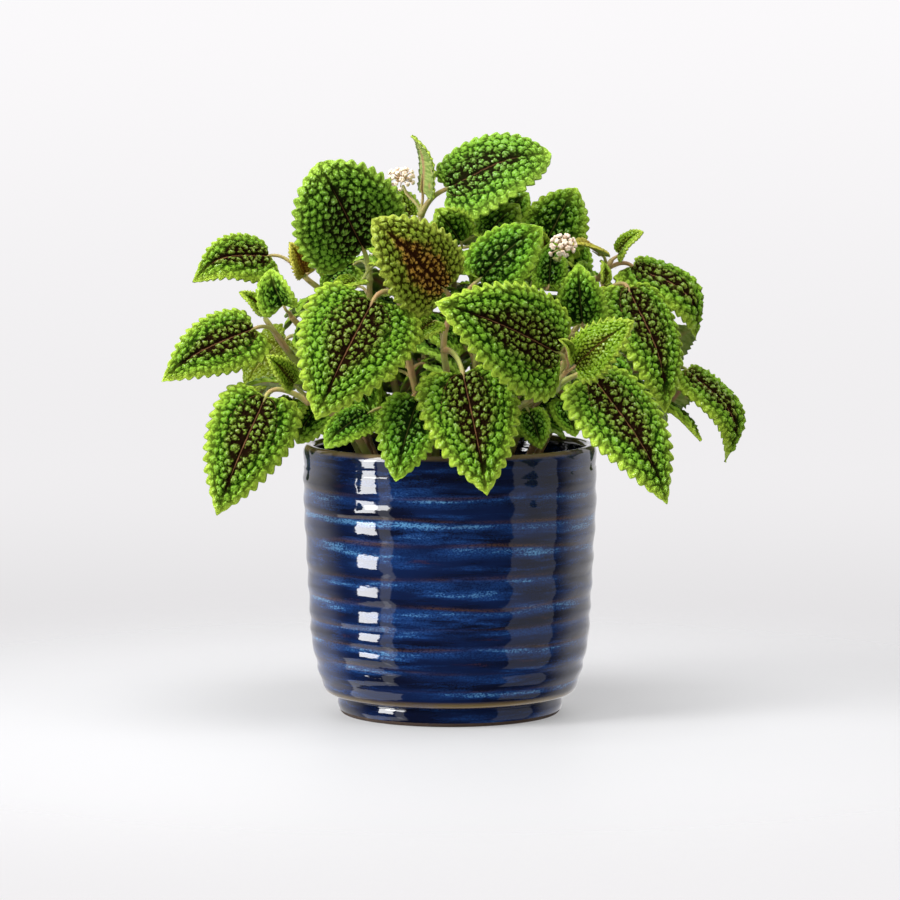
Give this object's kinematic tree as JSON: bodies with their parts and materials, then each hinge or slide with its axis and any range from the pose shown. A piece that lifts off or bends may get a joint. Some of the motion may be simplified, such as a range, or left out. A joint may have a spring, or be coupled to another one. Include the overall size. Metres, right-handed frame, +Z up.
{
  "type": "potted plant",
  "caption": "Bushy potted pilea with quilted, scalloped green leaves and small cream flower heads, in a ribbed, blue-glazed ceramic pot with a foot ring.",
  "frame": {"origin": "centre of the foot ring's underside, on the surface that the pot stands on", "axes": "+Z up along the pot's axis, -Y towards the front that the picture shows, +X to the right in that view"},
  "size_m": [0.2739, 0.2098, 0.2762],
  "materials": {
    "blue_glaze": "glossy",
    "dark_soil": "rough, crumbly potting soil",
    "leaf_green": "satin leaf",
    "flower_cream": "soft petals"
  },
  "bodies": {
    "root": {"pot": "blue_glaze", "potting_soil": "dark_soil", "leafy_stem_01": "leaf_green", "leafy_stem_02": "leaf_green", "leafy_stem_03": "leaf_green", "leafy_stem_04": "leaf_green", "leafy_stem_05": "leaf_green", "leafy_stem_06": "leaf_green", "leafy_stem_07": "leaf_green", "leafy_stem_08": "leaf_green", "leafy_stem_09": "leaf_green", "leafy_stem_10": "leaf_green", "leafy_stem_11": "leaf_green", "leafy_stem_12": "leaf_green", "leafy_stem_13": "leaf_green", "leafy_stem_14": "leaf_green", "leafy_stem_15": "leaf_green", "leafy_stem_16": "leaf_green", "leafy_stem_17": "leaf_green", "leafy_stem_18": "leaf_green", "leafy_stem_19": "leaf_green", "leafy_stem_20": "leaf_green", "leafy_stem_21": "leaf_green", "flower_head_1": "flower_cream", "flower_head_2": "flower_cream"}
  },
  "joints": []
}
